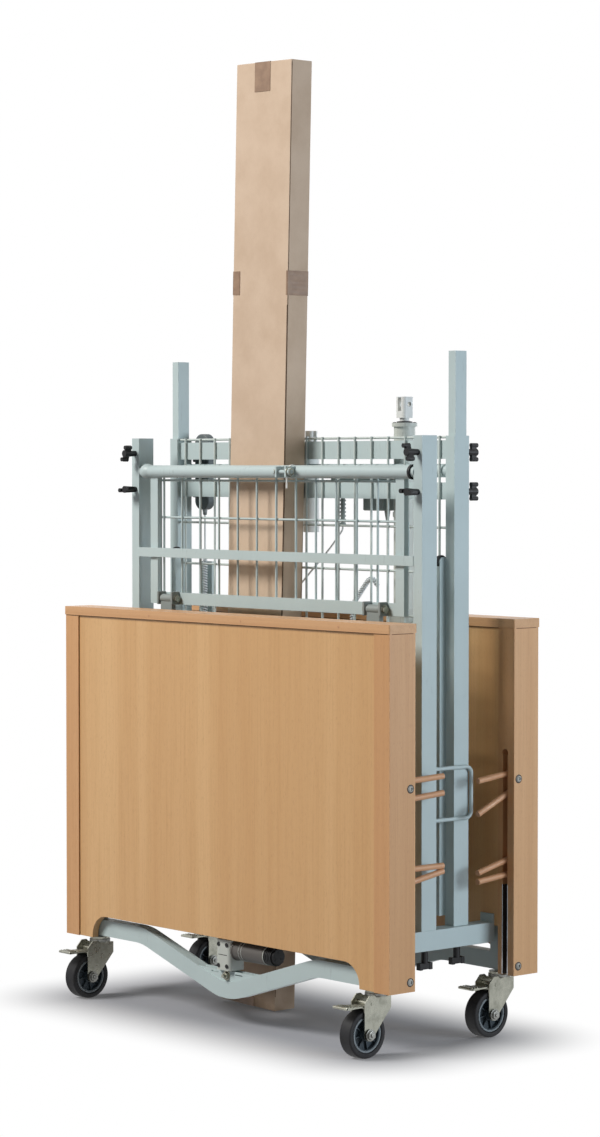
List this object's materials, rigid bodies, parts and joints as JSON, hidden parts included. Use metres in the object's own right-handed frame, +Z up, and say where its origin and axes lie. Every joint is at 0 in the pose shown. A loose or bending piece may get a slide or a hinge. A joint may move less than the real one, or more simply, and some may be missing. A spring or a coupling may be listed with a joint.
{
  "type": "adjustable care bed packed for transport",
  "caption": "Adjustable care bed taken apart and packed upright on its own castors: wooden end boards, steel bed halves, actuators and a carton of side rails.",
  "frame": {"origin": "floor under the middle of the packed bed", "axes": "+Z up, X across the end boards, -Y the front board's side"},
  "size_m": [1.046, 0.467, 1.9932],
  "materials": {
    "beech_panel": "satin lacquer",
    "beech_edge": "satin lacquer",
    "dowel_wood": "oiled",
    "grey_steel": "satin powder coat",
    "zinc": "zinc plated",
    "bright_steel": "ground",
    "galvanised_wire": "satin",
    "tyre": "matte",
    "hub": "satin",
    "black_plastic": "satin",
    "motor_grey": "satin",
    "white_plastic": "satin",
    "dark_plastic": "matte",
    "handset_shell": "satin",
    "keypad_rubber": "matte",
    "cord_sheath": "satin",
    "cardboard": "matte"
  },
  "bodies": {
    "carrier": {"front_outer_panel": "beech_panel", "front_inner_panel": "beech_panel", "front_left_post": "beech_edge", "front_right_post": "beech_edge", "front_cap": "beech_edge", "front_lift_rod": "bright_steel", "rear_outer_panel": "beech_panel", "rear_inner_panel": "beech_panel", "rear_left_post": "beech_edge", "rear_right_post": "beech_edge", "rear_cap": "beech_edge", "rear_lift_rod": "bright_steel", "board_bolts": "zinc", "left_storage_bracket": "grey_steel", "right_storage_bracket": "grey_steel", "bracket_knobs": "black_plastic"},
    "front_chassis": {"front_chassis": "grey_steel", "front_lift_actuator": "motor_grey"},
    "front_left_castor": {"front_left_fork": "zinc"},
    "front_left_wheel": {"front_left_tyre": "tyre", "front_left_hub": "hub"},
    "front_left_brake": {"front_left_pedal": "zinc"},
    "front_left_guide": {"front_left_rail_guide": "dowel_wood"},
    "front_right_castor": {"front_right_fork": "zinc"},
    "front_right_wheel": {"front_right_tyre": "tyre", "front_right_hub": "hub"},
    "front_right_brake": {"front_right_pedal": "zinc"},
    "front_right_guide": {"front_right_rail_guide": "dowel_wood"},
    "rear_chassis": {"rear_chassis": "grey_steel", "rear_lift_actuator": "motor_grey"},
    "rear_left_castor": {"rear_left_fork": "zinc"},
    "rear_left_wheel": {"rear_left_tyre": "tyre", "rear_left_hub": "hub"},
    "rear_left_brake": {"rear_left_pedal": "zinc"},
    "rear_left_guide": {"rear_left_rail_guide": "dowel_wood"},
    "rear_right_castor": {"rear_right_fork": "zinc"},
    "rear_right_wheel": {"rear_right_tyre": "tyre", "rear_right_hub": "hub"},
    "rear_right_brake": {"rear_right_pedal": "zinc"},
    "rear_right_guide": {"rear_right_rail_guide": "dowel_wood"},
    "foot_half": {"foot_frame": "grey_steel", "foot_wing_screws": "black_plastic"},
    "thigh_section": {"thigh_rest": "grey_steel"},
    "calf_section": {"calf_rest": "grey_steel"},
    "left_hoop": {"left_mattress_bracket": "galvanised_wire"},
    "right_hoop": {"right_mattress_bracket": "galvanised_wire"},
    "head_half": {"head_frame": "grey_steel", "backrest_mesh": "grey_steel", "head_wing_screws": "black_plastic", "backrest_actuator": "white_plastic", "thigh_actuator": "motor_grey", "control_box": "dark_plastic", "handset": "handset_shell", "handset_keypad": "keypad_rubber", "handset_cord": "cord_sheath", "motor_cord": "cord_sheath"},
    "backrest_ram": {"backrest_rod": "white_plastic"},
    "thigh_ram": {"thigh_rod": "white_plastic"},
    "packed_rails": {"carton": "cardboard", "side_rails": "beech_panel"}
  },
  "joints": [
    {"name": "front_lift", "type": "slide", "parent": "front_chassis", "child": "carrier", "axis": [0, 0, 1], "range_m": [0, 0.4]},
    {"name": "front_left_swivel", "type": "hinge", "parent": "front_chassis", "child": "front_left_castor", "pos_m": [-0.445, -0.1385, 0.131], "axis": [0, 0, 1], "continuous": true},
    {"name": "front_left_roll", "type": "hinge", "parent": "front_left_castor", "child": "front_left_wheel", "pos_m": [-0.445, -0.1745, 0.047], "axis": [1, 0, 0], "continuous": true},
    {"name": "front_left_pedal_press", "type": "hinge", "parent": "front_left_castor", "child": "front_left_brake", "pos_m": [-0.445, -0.1675, 0.106], "axis": [1, 0, 0], "range_deg": [0, 18]},
    {"name": "front_left_guide_slide", "type": "slide", "parent": "carrier", "child": "front_left_guide", "axis": [0, 0, 1], "range_m": [-0.19, 0.02]},
    {"name": "front_right_swivel", "type": "hinge", "parent": "front_chassis", "child": "front_right_castor", "pos_m": [0.445, -0.1385, 0.131], "axis": [0, 0, 1], "continuous": true},
    {"name": "front_right_roll", "type": "hinge", "parent": "front_right_castor", "child": "front_right_wheel", "pos_m": [0.445, -0.1745, 0.047], "axis": [1, 0, 0], "continuous": true},
    {"name": "front_right_pedal_press", "type": "hinge", "parent": "front_right_castor", "child": "front_right_brake", "pos_m": [0.445, -0.1675, 0.106], "axis": [1, 0, 0], "range_deg": [0, 18]},
    {"name": "front_right_guide_slide", "type": "slide", "parent": "carrier", "child": "front_right_guide", "axis": [0, 0, 1], "range_m": [-0.19, 0.02]},
    {"name": "rear_lift", "type": "slide", "parent": "carrier", "child": "rear_chassis", "axis": [0, 0, -1], "range_m": [0, 0.4]},
    {"name": "rear_left_swivel", "type": "hinge", "parent": "rear_chassis", "child": "rear_left_castor", "pos_m": [-0.445, 0.1975, 0.131], "axis": [0, 0, 1], "continuous": true},
    {"name": "rear_left_roll", "type": "hinge", "parent": "rear_left_castor", "child": "rear_left_wheel", "pos_m": [-0.445, 0.1615, 0.047], "axis": [1, 0, 0], "continuous": true},
    {"name": "rear_left_pedal_press", "type": "hinge", "parent": "rear_left_castor", "child": "rear_left_brake", "pos_m": [-0.445, 0.1685, 0.106], "axis": [1, 0, 0], "range_deg": [0, 18]},
    {"name": "rear_left_guide_slide", "type": "slide", "parent": "carrier", "child": "rear_left_guide", "axis": [0, 0, 1], "range_m": [-0.19, 0.02]},
    {"name": "rear_right_swivel", "type": "hinge", "parent": "rear_chassis", "child": "rear_right_castor", "pos_m": [0.445, 0.1975, 0.131], "axis": [0, 0, 1], "continuous": true},
    {"name": "rear_right_roll", "type": "hinge", "parent": "rear_right_castor", "child": "rear_right_wheel", "pos_m": [0.445, 0.1615, 0.047], "axis": [1, 0, 0], "continuous": true},
    {"name": "rear_right_pedal_press", "type": "hinge", "parent": "rear_right_castor", "child": "rear_right_brake", "pos_m": [0.445, 0.1685, 0.106], "axis": [1, 0, 0], "range_deg": [0, 18]},
    {"name": "rear_right_guide_slide", "type": "slide", "parent": "carrier", "child": "rear_right_guide", "axis": [0, 0, 1], "range_m": [-0.19, 0.02]},
    {"name": "foot_half_lift_out", "type": "slide", "parent": "carrier", "child": "foot_half", "axis": [0, 0, 1], "range_m": [0, 0.95]},
    {"name": "thigh_tilt", "type": "hinge", "parent": "foot_half", "child": "thigh_section", "pos_m": [0, -0.0255, 1.1362], "axis": [1, 0, 0], "range_deg": [0, 2.5]},
    {"name": "calf_tilt", "type": "hinge", "parent": "thigh_section", "child": "calf_section", "pos_m": [0, -0.0375, 0.8632], "axis": [1, 0, 0], "range_deg": [-2.5, 0]},
    {"name": "left_bracket_pull", "type": "slide", "parent": "foot_half", "child": "left_hoop", "axis": [0, 1, 0], "range_m": [0, 0.025]},
    {"name": "right_bracket_pull", "type": "slide", "parent": "foot_half", "child": "right_hoop", "axis": [0, 1, 0], "range_m": [0, 0.025]},
    {"name": "head_half_lift_out", "type": "slide", "parent": "carrier", "child": "head_half", "axis": [0, 0, 1], "range_m": [0, 0.95]},
    {"name": "backrest_stroke", "type": "slide", "parent": "head_half", "child": "backrest_ram", "axis": [0, 0, 1], "range_m": [0, 0.2]},
    {"name": "thigh_stroke", "type": "slide", "parent": "head_half", "child": "thigh_ram", "axis": [0, 0, 1], "range_m": [0, 0.1]},
    {"name": "carton_lift_out", "type": "slide", "parent": "carrier", "child": "packed_rails", "axis": [0.0283, 0, 0.9996], "range_m": [0, 1.2]}
  ],
  "couplings": [
    {"joint": "rear_lift", "follows": "front_lift", "ratio": 1},
    {"joint": "calf_tilt", "follows": "thigh_tilt", "ratio": -1}
  ]
}
